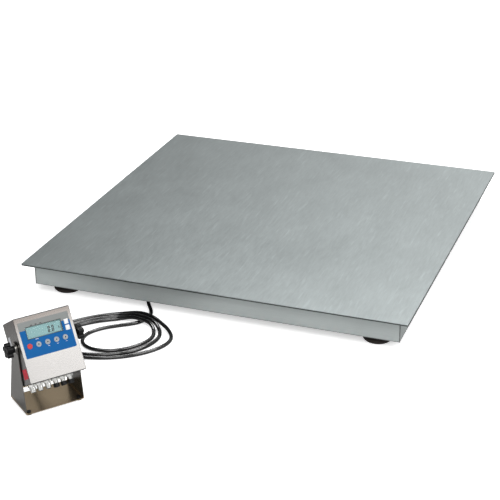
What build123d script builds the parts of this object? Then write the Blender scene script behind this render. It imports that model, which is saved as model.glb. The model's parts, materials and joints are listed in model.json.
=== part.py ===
"""Four-cell platform scale of stainless steel with its indicator on a tilting stand.

Millimetres, +Z up, floor at z = 0. +X runs along the platform's front edge, +Y from the front to the back.
The origin is on the floor, below the centre of the whole object's box.
"""
import os
from math import cos, pi, radians, sin, sqrt, tan

from build123d import *

# Platform
platform_side = 1200
platform_y = 322
plate_thickness = 6
plate_corner = 3
plate_chamfer = 0.8
platform_height = 104
frame_height = 70
overhang = 30
channel_wall = 3
channel_flange = 35

# Cross ribs, closed tubes under the plate
rib_width = 60
rib_height = 40
rib_wall = 3
rib_corner = 4
rib_places = (-300, -100, 100, 300)

# Load cells: beams along X, the free end outwards over its foot
cell_length = 130
cell_side = 32
cell_chamfer = 1
cell_bottom = 48
live_end = 16
fixed_hole = 20
hole_pitch = 26
bolt_radius = 6
bolt_clearance = 0.5
bolt_head = 7.5
bolt_end_gap = 5
tapped_hole_gap = 3
pocket_radius = 12
pocket_depth = 10
nub_radius = 6
nub_length = 10
nub_height = 56
mount_plate_length = 150
mount_plate_width = 78
mount_plate_thickness = 12
mount_plate_overlap = 8
mount_pad_length = 64

# Feet
foot_x = 492
foot_y = 512
foot_radius = 43
ball_radius = 8
ball_gap = 0.3
ball_height = 14
pad_height = 20
foot_edge = 4
foot_rim_height = 10
foot_slope_width = 5
foot_slope_height = 14
foot_collar_radius = 18
foot_collar_height = 17
foot_top_radius = 15
neck_radius = 4.8
stud_radius = 6
stud_hex_bottom = 24
stud_hex_top = 31
stud_hex_flats = 14
stud_below_cell_top = 4
stud_chamfer = 1
running_gap = 0.05
nut_flats = 19
nut_height = 7

# Junction box under the plate, its lid downwards
box_x = -201
box_size_x = 110
box_size_y = 80
box_front = platform_y - 440
box_wall = 3
box_bottom = 46
box_top = 82
box_corner = 4
carrier_thickness = 3
carrier_length = 100
gasket_thickness = 1.5
gasket_width = 12
lid_thickness = 3
lid_chamfer = 0.8
lid_screw_radius = 2
lid_screw_head = 2.2
lid_screw_grip = 12
lid_screw_depth = 14
small_head_radius = 3.6
screw_clearance = 0.2
box_screw_inset = 7
box_post = 9
board_height = 72
board_thickness = 1.6
board_length = 80
board_width = 50
board_post_radius = 3
board_post_across = 30
board_post_along = 18
terminal_height = 10
terminal_depth = 8
cell_terminal_width = 15
cell_terminal_pitch = 18
cell_terminal_row = 14
output_terminal_width = 24
output_terminal_place = (-20, -16)
gland_height = 60
large_gland = {"stem": 8, "flats": 22, "hexagon": 6, "nut": 10}
small_gland = {"stem": 6, "flats": 16, "hexagon": 5, "nut": 7.2}
gland_tail = 4
gland_taper = 8
outlet_length = 22
cell_gland_length = 17
outlet_x = -226
cell_gland_first = -237
cell_gland_pitch = 24

# Stand and indicator, measured across, backwards and up from the middle of the stand's base
stand_x = -240
stand_y = platform_y - 1125
stand_turn = 51.1
stand_width = 163
stand_depth = 110
stand_sheet = 2
stand_lift = 4
bend_radius = 1.8
bracket_foot_inset = 11
bracket_foot_radius = 8
bracket_hole_radius = 3.5
barb_radius = 6.5
barb_height = 3
barb_taper = 25
pivot_back = -10
pivot_height = 178
ear_radius = 19
ear_front_angle = 8
ear_back_angle = 17
panel_lean = 32.6
panel_width = 155
panel_height = 172
housing_depth = 90
housing_wall = 1.6
housing_corner = 3
housing_edge = 1.4
pivot_behind_panel = 38
pivot_above_centre = 13.6
boss_radius = 9
boss_length = 12
rear_lip = 12
rear_lip_corner = 2
gasket_inset = 0.5
cover_thickness = 2
cover_chamfer = 0.6
cover_screw_radius = 2
cover_screw_inset = 6
cover_screw_head = 2
cover_screw_tail = 4
rear_gland_drop = -50
rear_gland_length = 24

# Keypad and display
overlay_width = 138
overlay_height = 94
overlay_thickness = 0.8
overlay_corner = 3
overlay_rise = 25
window_width = 97
window_height = 31
window_across = -4
window_rise = 41
module_width = 102
module_height = 42
module_thickness = 6
key_radius = 6.8
key_gap = 0.3
key_pitch = 24.5
key_first = -52.6
key_rise = 8
key_travel = 0.5
key_proud = 0.5
key_edge = 0.4
flange_radius = 8.4
flange_gap = 0.1
flange_thickness = 1.2
plunger_gap = 0.2
plunger_radius = 1.8
switch_side = 6
switch_height = 4
main_board_depth = 12
main_board_width = 128
main_board_height = 120
main_post_across = 60
main_post_up = 56
battery_width = 98
battery_height = 66
battery_depth = 38
battery_corner = 5
battery_rise = 14

# Sockets and blanked glands under the housing, by their places across it
socket_spots = {-62: "gland", -42: "gland", -20: "gland", 2: "cap", 22: "cap", 42: "cap"}
socket_depth = 44
socket_stem = 7
socket_tail = 5
socket_flats = 18
socket_hexagon = 5
socket_body_radius = {"gland": 8.2, "cap": 6.5}
socket_body_length = {"gland": 15, "cap": 8}
socket_taper = 5
cap_radius = 8
cap_length = 9
cap_crown = 2
cap_taper = 35

# Plain patches on the housing's left side: width and height, and their places forwards and up
seal_size = (34, 26)
seal_place = (-20, -57)
blank_size = (14, 24)
blank_place = (-72, 36)
patch_thickness = 0.3

# Knobs
knob_radius = 21
knob_lobes = 5
lobe_radius = 7
knob_length = 15
knob_edge = 2
neck_of_knob_radius = 9
neck_of_knob_length = 8
knob_stud_radius = 4
knob_stud_gap = 1
pivot_clearance = 0.4
spacer_radius = 14
washer_radius = 12
washer_thickness = 1.6
side_gap = 0.1

# Cables
signal_radius = 5.5
crossing_height = 19
straight_at_gland = 30
lead_radius = 2.5
lead_low = 49
clip_width = 14
clip_length = 10
clip_bottom = 45
clip_clearance = 0.5

plate_bottom = platform_height - plate_thickness
frame_bottom = plate_bottom - frame_height
frame_half = platform_side / 2 - overhang
rib_bottom = plate_bottom - rib_height
cell_top = cell_bottom + cell_side
cell_inner = foot_x + live_end - cell_length
stud_top = cell_top - stud_below_cell_top
box_rear = box_front + box_size_y
stand_half = stand_width / 2
panel_half = panel_width / 2

os.makedirs("parts", exist_ok=True)


def save(builder, name):
    """Label a finished piece and write it to its own file."""
    builder.part.label = name
    export_step(builder.part, f"parts/{name}.step")


def hexagon_radius(flats):
    """The corner radius of a hexagon of that size across its flats."""
    return flats / sqrt(3)


def corner_radii(route):
    """For each corner of a route, 0.45 of its shorter run divided by the tangent of half the turn."""
    points = [Vector(*p) for p in route]
    runs = [b - a for a, b in zip(points, points[1:])]
    return [
        0.45 * min(a.length, b.length) / tan(radians(a.get_angle(b) / 2))
        for a, b in zip(runs, runs[1:])
    ]


across = Vector(cos(radians(stand_turn)), sin(radians(stand_turn)), 0)
backwards = Vector(-sin(radians(stand_turn)), cos(radians(stand_turn)), 0)
upwards = Vector(0, 0, 1)
stand = Plane(origin=(stand_x, stand_y, 0), x_dir=across, z_dir=upwards)
panel_out = upwards * sin(radians(panel_lean)) - backwards * cos(radians(panel_lean))
panel_rise = upwards * cos(radians(panel_lean)) + backwards * sin(radians(panel_lean))
pivot = stand.origin + backwards * pivot_back + upwards * pivot_height
panel_centre = pivot + panel_out * pivot_behind_panel - panel_rise * pivot_above_centre
panel = Plane(origin=panel_centre, x_dir=across, z_dir=panel_out)


def panel_at(depth):
    """The panel's plane moved back into the housing."""
    return panel.offset(-depth)


def pivot_side(side, distance):
    """A plane square to the pivot's axis, that far from the middle, facing outwards on that side."""
    return Plane(origin=pivot + across * side * distance, x_dir=backwards, z_dir=across * side)


# Top plate
with BuildPart() as top_plate:
    with BuildSketch(Plane((0, platform_y, plate_bottom))):
        RectangleRounded(platform_side, platform_side, plate_corner)
    extrude(amount=plate_thickness)
    chamfer(top_plate.faces().sort_by(Axis.Z)[-1].edges(), plate_chamfer)
save(top_plate, "top_plate")

# Frame: four channels mitred at the corners, their open sides inwards
for name, turn in (("frame_front", 0), ("frame_right", 90), ("frame_rear", 180), ("frame_left", 270)):
    outwards = Vector(sin(radians(turn)), -cos(radians(turn)), 0)
    along = Vector(cos(radians(turn)), sin(radians(turn)), 0)
    middle = Vector(0, platform_y, frame_bottom) + outwards * frame_half
    section = Plane(origin=middle - along * frame_half, x_dir=outwards * -1, z_dir=along)
    with BuildPart() as channel:
        with BuildSketch(section):
            with Locations((channel_flange / 2, frame_height / 2)):
                Rectangle(channel_flange, frame_height)
            with Locations((channel_flange / 2 + channel_wall, frame_height / 2)):
                Rectangle(channel_flange, frame_height - 2 * channel_wall, mode=Mode.SUBTRACT)
        extrude(amount=2 * frame_half)
        for side in (-1, 1):
            mitre = Plane(origin=middle + along * side * frame_half, z_dir=outwards - along * side)
            split(bisect_by=mitre, keep=Keep.TOP)
    save(channel, name)

# Cross ribs
rib_length = 2 * (frame_half - channel_flange)
with BuildPart() as cross_ribs:
    for x in rib_places:
        rib_end = Plane(
            origin=(x, platform_y - rib_length / 2, rib_bottom + rib_height / 2),
            x_dir=(1, 0, 0),
            z_dir=(0, 1, 0),
        )
        with BuildSketch(rib_end):
            RectangleRounded(rib_width, rib_height, rib_corner)
            offset(amount=-rib_wall, mode=Mode.SUBTRACT)
        extrude(amount=rib_length)
save(cross_ribs, "cross_ribs")

# Load cells, their mounting plates, bolts, feet and lock nuts
corners = {
    "front_left": (-1, -1),
    "front_right": (1, -1),
    "rear_left": (-1, 1),
    "rear_right": (1, 1),
}
bolt_places = [(fixed_hole + n * hole_pitch) for n in range(2)]

for name, (sx, sy) in corners.items():
    y = platform_y + sy * foot_y
    inner = sx * cell_inner
    cell_centre = sx * (cell_inner + cell_length / 2)
    pocket_x = sx * (cell_inner + fixed_hole + hole_pitch + foot_x) / 2
    with BuildPart() as load_cell:
        with BuildSketch(Plane((cell_centre, y, cell_bottom))):
            Rectangle(cell_length, cell_side)
        extrude(amount=cell_side)
        chamfer(load_cell.edges().filter_by(Axis.X), cell_chamfer)
        with BuildSketch(Plane((0, 0, cell_bottom))):
            for place in bolt_places:
                with Locations((inner + sx * place, y)):
                    Circle(bolt_radius + bolt_clearance)
            with Locations((sx * foot_x, y)):
                Circle(stud_radius + running_gap)
        extrude(amount=cell_side, mode=Mode.SUBTRACT)
        for side in (-1, 1):
            flank = Plane(
                origin=(pocket_x, y + side * cell_side / 2, cell_bottom + cell_side / 2),
                x_dir=(1, 0, 0),
                z_dir=(0, -side, 0),
            )
            with BuildSketch(flank):
                Circle(pocket_radius)
            extrude(amount=pocket_depth, mode=Mode.SUBTRACT)
        with BuildSketch(Plane(origin=(inner, y, nub_height), x_dir=(0, 1, 0), z_dir=(-sx, 0, 0))):
            Circle(nub_radius)
        extrude(amount=nub_length)
    save(load_cell, f"load_cell_{name}")

with BuildPart() as cell_mount_plates:
    for sx, sy in corners.values():
        y = platform_y + sy * foot_y
        plate_x = sx * (cell_inner + mount_plate_length / 2 - mount_plate_overlap)
        plate_y = platform_y + sy * (frame_half - channel_flange - mount_plate_width / 2)
        pad_x = sx * (cell_inner + mount_pad_length / 2)
        with BuildSketch(Plane((plate_x, plate_y, plate_bottom - mount_plate_thickness))):
            Rectangle(mount_plate_length, mount_plate_width)
        extrude(amount=mount_plate_thickness)
        with BuildSketch(Plane((pad_x, y, cell_top))):
            Rectangle(mount_pad_length, cell_side)
        extrude(amount=plate_bottom - mount_plate_thickness - cell_top)
        with BuildSketch(Plane((0, 0, cell_top))):
            for place in bolt_places:
                with Locations((sx * (cell_inner + place), y)):
                    Circle(bolt_radius)
        extrude(amount=plate_bottom - cell_top - tapped_hole_gap, mode=Mode.SUBTRACT)
save(cell_mount_plates, "cell_mount_plates")

with BuildPart() as cell_bolts:
    for sx, sy in corners.values():
        for place in bolt_places:
            spot = (sx * (cell_inner + place), platform_y + sy * foot_y, cell_bottom - bolt_head)
            with BuildSketch(Plane(spot)):
                RegularPolygon(hexagon_radius(nut_flats), 6)
            extrude(amount=bolt_head)
            with BuildSketch(Plane(spot)):
                Circle(bolt_radius)
            extrude(amount=bolt_head + plate_bottom - cell_bottom - bolt_end_gap)
save(cell_bolts, "cell_bolts")

with BuildPart() as foot_lock_nuts:
    for sx, sy in corners.values():
        spot = (sx * foot_x, platform_y + sy * foot_y, cell_bottom - nut_height)
        with BuildSketch(Plane(spot)):
            RegularPolygon(hexagon_radius(nut_flats), 6)
            Circle(stud_radius + running_gap, mode=Mode.SUBTRACT)
        extrude(amount=nut_height)
save(foot_lock_nuts, "foot_lock_nuts")

for name, (sx, sy) in corners.items():
    spot = Vector(sx * foot_x, platform_y + sy * foot_y, 0)
    with BuildPart() as foot_stud:
        with Locations(spot + upwards * ball_height):
            Sphere(ball_radius)
        with BuildSketch(Plane(spot + upwards * ball_height)):
            Circle(neck_radius)
        extrude(amount=stud_hex_bottom - ball_height)
        with BuildSketch(Plane(spot + upwards * stud_hex_bottom)):
            RegularPolygon(hexagon_radius(stud_hex_flats), 6)
        extrude(amount=stud_hex_top - stud_hex_bottom)
        with BuildSketch(Plane(spot + upwards * stud_hex_top)):
            Circle(stud_radius)
        extrude(amount=stud_top - stud_hex_top)
        chamfer(foot_stud.faces().sort_by(Axis.Z)[-1].edges(), stud_chamfer)
    save(foot_stud, f"foot_stud_{name}")

    with BuildPart() as foot_pad:
        with BuildSketch(Plane(origin=spot, x_dir=(1, 0, 0), z_dir=(0, -1, 0))):
            with BuildLine():
                Polyline(
                    (0, 0),
                    (foot_radius - foot_edge, 0),
                    (foot_radius, foot_edge),
                    (foot_radius, foot_rim_height),
                    (foot_radius - foot_slope_width, foot_slope_height),
                    (foot_collar_radius, foot_collar_height),
                    (foot_top_radius, pad_height),
                    (0, pad_height),
                    close=True,
                )
            make_face()
        revolve(axis=Axis(spot, upwards))
        with Locations(spot + upwards * ball_height):
            Sphere(ball_radius + ball_gap, mode=Mode.SUBTRACT)
    save(foot_pad, f"foot_pad_{name}")

# Junction box
box_centre_y = box_front + box_size_y / 2
screw_across = box_size_x / 2 - box_screw_inset
screw_along = box_size_y / 2 - box_screw_inset
screw_spots = [(box_x + a * screw_across, box_centre_y + b * screw_along) for a in (-1, 1) for b in (-1, 1)]
lid_bottom = box_bottom - gasket_thickness - lid_thickness
gland_xs = [cell_gland_first + n * cell_gland_pitch for n in range(4)]
outlet_plane = Plane(origin=(outlet_x, box_front, gland_height), x_dir=(1, 0, 0), z_dir=(0, -1, 0))
cell_gland_planes = [
    Plane(origin=(x, box_rear, gland_height), x_dir=(-1, 0, 0), z_dir=(0, 1, 0)) for x in gland_xs
]

with BuildPart() as box_carrier:
    carrier_gap = rib_places[1] - rib_places[0] - rib_width
    carrier_centre = (rib_places[0] + rib_places[1]) / 2
    with BuildSketch(Plane((carrier_centre, box_centre_y, box_top))):
        Rectangle(carrier_gap, carrier_length)
    extrude(amount=carrier_thickness)
save(box_carrier, "junction_box_carrier")

with BuildPart() as box_base:
    with BuildSketch(Plane((box_x, box_centre_y, box_bottom))):
        RectangleRounded(box_size_x, box_size_y, box_corner)
    extrude(amount=box_top - box_bottom)
    with BuildSketch(Plane((box_x, box_centre_y, box_bottom))):
        Rectangle(box_size_x - 2 * box_wall, box_size_y - 2 * box_wall)
    extrude(amount=box_top - box_bottom - box_wall, mode=Mode.SUBTRACT)
    with BuildSketch(Plane((0, 0, box_bottom))):
        with Locations(*screw_spots):
            Rectangle(box_post, box_post)
    extrude(amount=box_top - box_bottom - box_wall)
    with BuildSketch(Plane((0, 0, box_bottom))):
        with Locations(*screw_spots):
            Circle(lid_screw_radius)
    extrude(amount=lid_screw_depth, mode=Mode.SUBTRACT)
    with BuildSketch(Plane((box_x, box_centre_y, board_height + board_thickness))):
        with GridLocations(2 * board_post_across, 2 * board_post_along, 2, 2):
            Circle(board_post_radius)
    extrude(amount=box_top - box_wall - board_height - board_thickness)
    with BuildSketch(outlet_plane):
        Circle(large_gland["stem"])
    extrude(amount=-box_wall, mode=Mode.SUBTRACT)
    for gland_plane in cell_gland_planes:
        with BuildSketch(gland_plane):
            Circle(small_gland["stem"])
        extrude(amount=-box_wall, mode=Mode.SUBTRACT)
save(box_base, "junction_box_base")

with BuildPart() as box_gasket:
    with BuildSketch(Plane((box_x, box_centre_y, box_bottom - gasket_thickness))):
        RectangleRounded(box_size_x, box_size_y, box_corner)
        Rectangle(box_size_x - 2 * gasket_width, box_size_y - 2 * gasket_width, mode=Mode.SUBTRACT)
    extrude(amount=gasket_thickness)
    with BuildSketch(Plane((0, 0, box_bottom - gasket_thickness))):
        with Locations(*screw_spots):
            Circle(lid_screw_radius + screw_clearance)
    extrude(amount=gasket_thickness, mode=Mode.SUBTRACT)
save(box_gasket, "junction_box_gasket")

with BuildPart() as box_lid:
    with BuildSketch(Plane((box_x, box_centre_y, lid_bottom))):
        RectangleRounded(box_size_x, box_size_y, box_corner)
    extrude(amount=lid_thickness)
    with BuildSketch(Plane((0, 0, lid_bottom))):
        with Locations(*screw_spots):
            Circle(lid_screw_radius + screw_clearance)
    extrude(amount=lid_thickness, mode=Mode.SUBTRACT)
    chamfer(box_lid.faces().sort_by(Axis.Z)[0].outer_wire().edges(), lid_chamfer)
save(box_lid, "junction_box_lid")

with BuildPart() as box_screws:
    with BuildSketch(Plane((0, 0, lid_bottom - lid_screw_head))):
        with Locations(*screw_spots):
            Circle(small_head_radius)
    extrude(amount=lid_screw_head)
    with BuildSketch(Plane((0, 0, lid_bottom))):
        with Locations(*screw_spots):
            Circle(lid_screw_radius)
    extrude(amount=box_bottom - lid_bottom + lid_screw_grip)
save(box_screws, "junction_box_screws")

with BuildPart() as summing_board:
    with BuildSketch(Plane((box_x, box_centre_y, board_height))):
        Rectangle(board_length, board_width)
    extrude(amount=board_thickness)
save(summing_board, "summing_board")

with BuildPart() as terminal_blocks:
    with BuildSketch(Plane((box_x, box_centre_y, board_height - terminal_height))):
        with GridLocations(cell_terminal_pitch, 0, 4, 1):
            with Locations((0, cell_terminal_row)):
                Rectangle(cell_terminal_width, terminal_depth)
        with Locations(output_terminal_place):
            Rectangle(output_terminal_width, terminal_depth)
    extrude(amount=terminal_height)
save(terminal_blocks, "terminal_blocks")


def gland(plane, wall, length, stem, flats, hexagon, nut):
    """A cable gland on a wall: stem through it, hexagon, and a clamping nut that narrows to its nose."""
    with BuildPart() as fitting:
        with BuildSketch(plane.offset(-wall - gland_tail)):
            Circle(stem)
        extrude(amount=wall + gland_tail)
        with BuildSketch(plane):
            RegularPolygon(hexagon_radius(flats), 6)
        extrude(amount=hexagon)
        with BuildSketch(plane.offset(hexagon)):
            Circle(nut)
        extrude(amount=length - hexagon, taper=gland_taper)
    return fitting.part


with BuildPart() as outlet_gland:
    add(gland(outlet_plane, box_wall, outlet_length, **large_gland))
save(outlet_gland, "outlet_gland")

with BuildPart() as cell_glands:
    for gland_plane in cell_gland_planes:
        add(gland(gland_plane, box_wall, cell_gland_length, **small_gland))
save(cell_glands, "cell_cable_glands")


def tube(route, radius):
    """A round cable along straight runs joined by tangent arcs, and its length."""
    with BuildPart() as cable:
        with BuildLine():
            path = FilletPolyline(*route, radius=corner_radii(route))
        with BuildSketch(Plane(origin=route[0], z_dir=path % 0)):
            Circle(radius)
        sweep(path=path)
    return cable.part, path.length


# Load cell leads: clipped under the ribs, from each cell's inner end to the box's rear wall
nub_x = cell_inner - nub_length
gland_mouth = box_rear + cell_gland_length
front_y = platform_y - foot_y
rear_y = platform_y + foot_y
lead_routes = [
    [
        (-nub_x, front_y, nub_height), (-350, front_y, nub_height), (-322, -186, 50), (-299, -171, lead_low),
        (-284, -140, lead_low), (-280, -88, lead_low), (-280, -27, lead_low), (-275, 16, 50), (-258, 36, 54),
        (-241, 28, 59), (gland_xs[0], 4, gland_height), (gland_xs[0], gland_mouth, gland_height),
    ],
    [
        (-nub_x, rear_y, nub_height), (-350, rear_y, nub_height), (-320, 826, lead_low),
        (-297, 798, lead_low), (-289, 722, lead_low), (-286, 622, lead_low), (-262, 492, lead_low),
        (-235, 352, lead_low), (-218, 212, 50), (-213, 102, 55),
        (gland_xs[1], 32, gland_height), (gland_xs[1], gland_mouth, gland_height),
    ],
    [
        (nub_x, rear_y, nub_height), (350, rear_y, nub_height), (320, 828, lead_low), (270, 802, lead_low),
        (200, 722, lead_low), (120, 602, lead_low), (40, 472, lead_low), (-50, 342, lead_low),
        (-130, 212, 50), (-176, 107, 55),
        (gland_xs[2], 32, gland_height), (gland_xs[2], gland_mouth, gland_height),
    ],
    [
        (nub_x, front_y, nub_height), (350, front_y, nub_height), (320, -186, lead_low),
        (270, -168, lead_low), (180, -118, lead_low), (80, -58, lead_low), (-20, -3, lead_low),
        (-100, 32, 50), (-143, 45, 54), (-161, 31, 59),
        (gland_xs[3], 6, gland_height), (gland_xs[3], gland_mouth, gland_height),
    ],
]
lead_lengths = []
with BuildPart() as cell_leads:
    for route in lead_routes:
        lead, length = tube(route, lead_radius)
        add(lead)
        lead_lengths.append(length)
save(cell_leads, "cell_cables")
print("cell leads", [round(v) for v in lead_lengths], "volume", round(cell_leads.part.volume),
      "section times length", round(sum(lead_lengths) * pi * lead_radius**2))

# Clips on the ribs: for each lead, the runs that cross under a rib and where along them
clip_runs = (
    (0, 4, 0.5), (1, 4, 0.5), (2, 2, 0.5), (2, 5, 0.25),
    (2, 7, 0.5), (3, 2, 0.5), (3, 4, 0.6), (3, 6, 0.75),
)
with BuildPart() as cable_clips:
    for lead, run, share in clip_runs:
        start, end = Vector(*lead_routes[lead][run]), Vector(*lead_routes[lead][run + 1])
        spot = start + (end - start) * share
        heading = Vector(end.X - start.X, end.Y - start.Y, 0).normalized()
        footing = Plane(origin=(spot.X, spot.Y, clip_bottom), x_dir=heading, z_dir=upwards)
        with BuildSketch(footing):
            Rectangle(clip_length, clip_width)
        extrude(amount=rib_bottom - clip_bottom)
        with BuildSketch(Plane(origin=spot - heading * clip_length, z_dir=heading)):
            Circle(lead_radius + clip_clearance)
        extrude(amount=2 * clip_length, mode=Mode.SUBTRACT)
save(cable_clips, "cable_clips")

# Stand: one folded sheet, a base and two ears
base_half = stand_depth / 2
ear_lift = stand_lift + stand_sheet
ear_centre = Vector(pivot_back, pivot_height)
ear_back = ear_centre + Vector(ear_radius, 0).rotate(Axis.Z, ear_back_angle)
ear_front = ear_centre + Vector(-ear_radius, 0).rotate(Axis.Z, -ear_front_angle)
pivot_hole = knob_stud_radius + pivot_clearance
bracket_foot_pitch = (stand_width - 2 * bracket_foot_inset, stand_depth - 2 * bracket_foot_inset, 2, 2)
with BuildPart() as stand_bracket:
    with BuildSketch(stand.offset(stand_lift)):
        Rectangle(stand_width, stand_depth)
    extrude(amount=stand_sheet)
    with BuildSketch(Plane(origin=stand.origin - across * stand_half, x_dir=backwards, z_dir=across)):
        with BuildLine():
            Polyline(
                (-base_half, stand_lift),
                (base_half, stand_lift),
                ear_back,
                ear_front,
                close=True,
            )
        make_face()
        with Locations((pivot_back, pivot_height)):
            Circle(ear_radius)
    extrude(amount=stand_width)
    with BuildSketch(stand.offset(ear_lift)):
        Rectangle(stand_width - 2 * stand_sheet, 2 * stand_depth)
    extrude(amount=2 * pivot_height, mode=Mode.SUBTRACT)
    with BuildSketch(pivot_side(-1, stand_half)):
        Circle(pivot_hole)
    extrude(amount=-stand_width, mode=Mode.SUBTRACT)
    lower_bends = stand_bracket.edges().filter_by(Axis((0, 0, 0), backwards)).group_by(Axis.Z)[0]
    fillet(lower_bends, bend_radius)
    with BuildSketch(stand.offset(stand_lift)):
        with GridLocations(*bracket_foot_pitch):
            Circle(bracket_hole_radius)
    extrude(amount=stand_sheet, mode=Mode.SUBTRACT)
save(stand_bracket, "stand_bracket")

with BuildPart() as bracket_feet:
    with BuildSketch(stand):
        with GridLocations(*bracket_foot_pitch):
            Circle(bracket_foot_radius)
    extrude(amount=stand_lift)
    with BuildSketch(stand.offset(stand_lift)):
        with GridLocations(*bracket_foot_pitch):
            Circle(bracket_hole_radius)
    extrude(amount=stand_sheet)
    with BuildSketch(stand.offset(ear_lift)):
        with GridLocations(*bracket_foot_pitch):
            Circle(barb_radius)
    extrude(amount=barb_height, taper=barb_taper)
save(bracket_feet, "bracket_feet")

# Indicator housing: a folded box open at the back
rear_opening = (panel_width - 2 * rear_lip, panel_height - 2 * rear_lip)
screw_pitch_across = panel_width - 2 * cover_screw_inset
screw_pitch_up = panel_height / 2 - cover_screw_inset
key_spots = [(key_first + n * key_pitch, key_rise) for n in range(5)]
belly_middle = panel.from_local_coords((0, -panel_height / 2, -socket_depth))
belly = Plane(origin=belly_middle, x_dir=across, z_dir=panel_rise * -1)
with BuildPart() as housing_shell:
    with BuildSketch(panel_at(housing_depth)):
        RectangleRounded(panel_width, panel_height, housing_corner)
    extrude(amount=housing_depth)
    fillet(housing_shell.faces().sort_by(Axis(panel.origin, panel_out))[-1].edges(), housing_edge)
    with BuildSketch(panel_at(housing_depth - housing_wall)):
        Rectangle(panel_width - 2 * housing_wall, panel_height - 2 * housing_wall)
    extrude(amount=housing_depth - 2 * housing_wall, mode=Mode.SUBTRACT)
    with BuildSketch(panel_at(housing_depth)):
        Rectangle(*rear_opening)
    extrude(amount=housing_wall, mode=Mode.SUBTRACT)
    with BuildSketch(panel_at(housing_wall)):
        with Locations((window_across, window_rise)):
            Rectangle(window_width, window_height)
        with Locations(*key_spots):
            Circle(key_radius + key_gap)
    extrude(amount=housing_wall, mode=Mode.SUBTRACT)
    for side in (-1, 1):
        with BuildSketch(pivot_side(side, panel_half - housing_wall)):
            Circle(boss_radius)
        extrude(amount=-boss_length)
        with BuildSketch(pivot_side(side, panel_half)):
            Circle(knob_stud_radius + running_gap)
        extrude(amount=-housing_wall - boss_length, mode=Mode.SUBTRACT)
    with BuildSketch(belly):
        for place in socket_spots:
            with Locations((place, 0)):
                Circle(socket_stem)
    extrude(amount=-housing_wall, mode=Mode.SUBTRACT)
    with BuildSketch(panel_at(housing_depth)):
        with GridLocations(screw_pitch_across, screw_pitch_up, 2, 3):
            Circle(cover_screw_radius)
    extrude(amount=housing_wall, mode=Mode.SUBTRACT)
save(housing_shell, "housing_shell")

with BuildPart() as cover_gasket:
    with BuildSketch(panel_at(housing_depth + gasket_thickness)):
        RectangleRounded(panel_width - 2 * gasket_inset, panel_height - 2 * gasket_inset, housing_corner)
        RectangleRounded(*rear_opening, rear_lip_corner, mode=Mode.SUBTRACT)
        with GridLocations(screw_pitch_across, screw_pitch_up, 2, 3):
            Circle(cover_screw_radius + screw_clearance, mode=Mode.SUBTRACT)
    extrude(amount=gasket_thickness)
save(cover_gasket, "cover_gasket")

cover_back = housing_depth + gasket_thickness + cover_thickness
with BuildPart() as rear_cover:
    with BuildSketch(panel_at(cover_back)):
        RectangleRounded(panel_width, panel_height, housing_corner)
        with GridLocations(screw_pitch_across, screw_pitch_up, 2, 3):
            Circle(cover_screw_radius + screw_clearance, mode=Mode.SUBTRACT)
        with Locations((0, rear_gland_drop)):
            Circle(large_gland["stem"], mode=Mode.SUBTRACT)
    extrude(amount=cover_thickness)
    chamfer(rear_cover.faces().sort_by(Axis(panel.origin, panel_out))[0].outer_wire().edges(), cover_chamfer)
save(rear_cover, "rear_cover")

with BuildPart() as cover_screws:
    with BuildSketch(panel_at(cover_back + cover_screw_head)):
        with GridLocations(screw_pitch_across, screw_pitch_up, 2, 3):
            Circle(small_head_radius)
    extrude(amount=cover_screw_head)
    with BuildSketch(panel_at(cover_back)):
        with GridLocations(screw_pitch_across, screw_pitch_up, 2, 3):
            Circle(cover_screw_radius)
    extrude(amount=cover_back - housing_depth + housing_wall + cover_screw_tail)
save(cover_screws, "cover_screws")

# Keypad overlay, window and display behind it
with BuildPart() as keypad_overlay:
    with BuildSketch(panel):
        with Locations((0, overlay_rise)):
            RectangleRounded(overlay_width, overlay_height, overlay_corner)
        with Locations((window_across, window_rise)):
            Rectangle(window_width, window_height, mode=Mode.SUBTRACT)
        with Locations(*key_spots):
            Circle(key_radius + key_gap, mode=Mode.SUBTRACT)
    extrude(amount=overlay_thickness)
save(keypad_overlay, "keypad_overlay")

with BuildPart() as display_window:
    with BuildSketch(panel_at(housing_wall)):
        with Locations((window_across, window_rise)):
            Rectangle(window_width, window_height)
    extrude(amount=housing_wall + overlay_thickness)
save(display_window, "display_window")

with BuildPart() as display_module:
    with BuildSketch(panel_at(housing_wall + module_thickness)):
        with Locations((window_across, window_rise)):
            Rectangle(module_width, module_height)
    extrude(amount=module_thickness)
save(display_module, "display_module")

flange_top = housing_wall + flange_gap
flange_bottom = flange_top + flange_thickness
plunger_top = flange_bottom + key_travel + plunger_gap
for n, spot in enumerate(key_spots):
    with BuildPart() as key:
        with BuildSketch(panel_at(flange_bottom)):
            with Locations(spot):
                Circle(key_radius)
        extrude(amount=flange_bottom + overlay_thickness + key_proud)
        fillet(key.faces().sort_by(Axis(panel.origin, panel_out))[-1].edges(), key_edge)
        with BuildSketch(panel_at(flange_bottom)):
            with Locations(spot):
                Circle(flange_radius)
        extrude(amount=flange_bottom - flange_top)
    save(key, f"key_{n + 1}")

with BuildPart() as key_switches:
    for spot in key_spots:
        with BuildSketch(panel_at(main_board_depth)):
            with Locations(spot):
                Rectangle(switch_side, switch_side)
        extrude(amount=switch_height)
        with BuildSketch(panel_at(main_board_depth - switch_height)):
            with Locations(spot):
                Circle(plunger_radius)
        extrude(amount=main_board_depth - switch_height - plunger_top)
save(key_switches, "key_switches")

with BuildPart() as main_board:
    with BuildSketch(panel_at(main_board_depth + board_thickness)):
        Rectangle(main_board_width, main_board_height)
    extrude(amount=board_thickness)
    with BuildSketch(panel_at(main_board_depth)):
        with GridLocations(2 * main_post_across, 2 * main_post_up, 2, 2):
            Circle(board_post_radius)
    extrude(amount=main_board_depth - housing_wall)
save(main_board, "main_board")

with BuildPart() as battery_pack:
    with BuildSketch(panel_at(housing_depth - housing_wall)):
        with Locations((0, battery_rise)):
            RectangleRounded(battery_width, battery_height, battery_corner)
    extrude(amount=battery_depth)
save(battery_pack, "battery_pack")

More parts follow.
